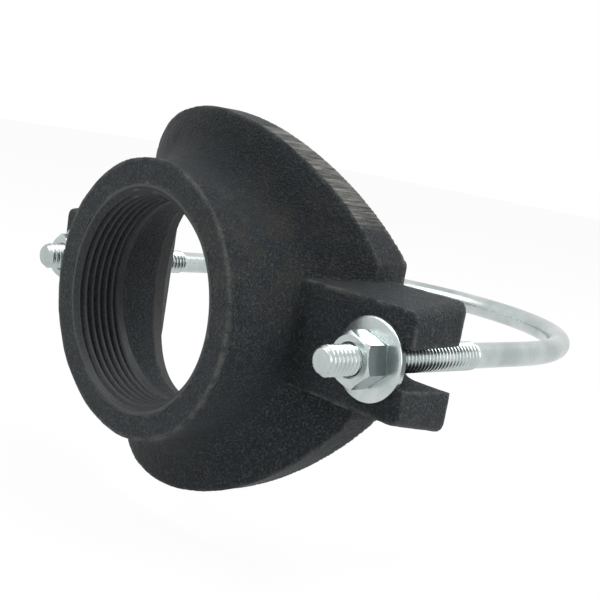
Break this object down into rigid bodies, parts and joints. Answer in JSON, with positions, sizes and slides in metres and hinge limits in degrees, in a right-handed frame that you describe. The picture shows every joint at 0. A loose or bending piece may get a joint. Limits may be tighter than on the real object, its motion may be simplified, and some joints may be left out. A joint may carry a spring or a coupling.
{
  "type": "tapping saddle",
  "caption": "Cast iron branch saddle with a female-threaded boss and forked lugs, clamped round a run pipe by a U-bolt with washers and hex nuts.",
  "frame": {"origin": "where the run pipe's axis crosses the branch axis", "axes": "+Z along the run pipe, -Y out of the branch boss, +Y towards the U-bolt's bend, +X to the right lug"},
  "size_m": [0.1528, 0.1583, 0.108],
  "materials": {
    "cast_iron_black": "sand cast, dark",
    "rubber_black": "matt moulded rubber",
    "zinc_rod": "bright zinc plate",
    "zinc_hardware": "bright zinc plate"
  },
  "bodies": {
    "saddle": {"saddle_casting": "cast_iron_black", "branch_gasket": "rubber_black", "right_washer": "zinc_hardware", "left_washer": "zinc_hardware"},
    "bolt": {"u_bolt": "zinc_rod"},
    "right_nut": {"right_nut": "zinc_hardware"},
    "left_nut": {"left_nut": "zinc_hardware"}
  },
  "joints": [
    {"name": "u_bolt_draw", "type": "slide", "parent": "saddle", "child": "bolt", "axis": [0, 1, 0], "range_m": [-0.0045, 0.004]},
    {"name": "right_nut_turn", "type": "hinge", "parent": "saddle", "child": "right_nut", "pos_m": [0.06451, -0.0659, 0], "axis": [0, -1, 0], "range_deg": [-1180, 1060]},
    {"name": "left_nut_turn", "type": "hinge", "parent": "saddle", "child": "left_nut", "pos_m": [-0.06451, -0.0659, 0], "axis": [0, -1, 0], "range_deg": [-1180, 1060]}
  ],
  "couplings": [
    {"joint": "right_nut_turn", "follows": "u_bolt_draw", "rad_per_m": 4453},
    {"joint": "left_nut_turn", "follows": "u_bolt_draw", "rad_per_m": 4453}
  ]
}
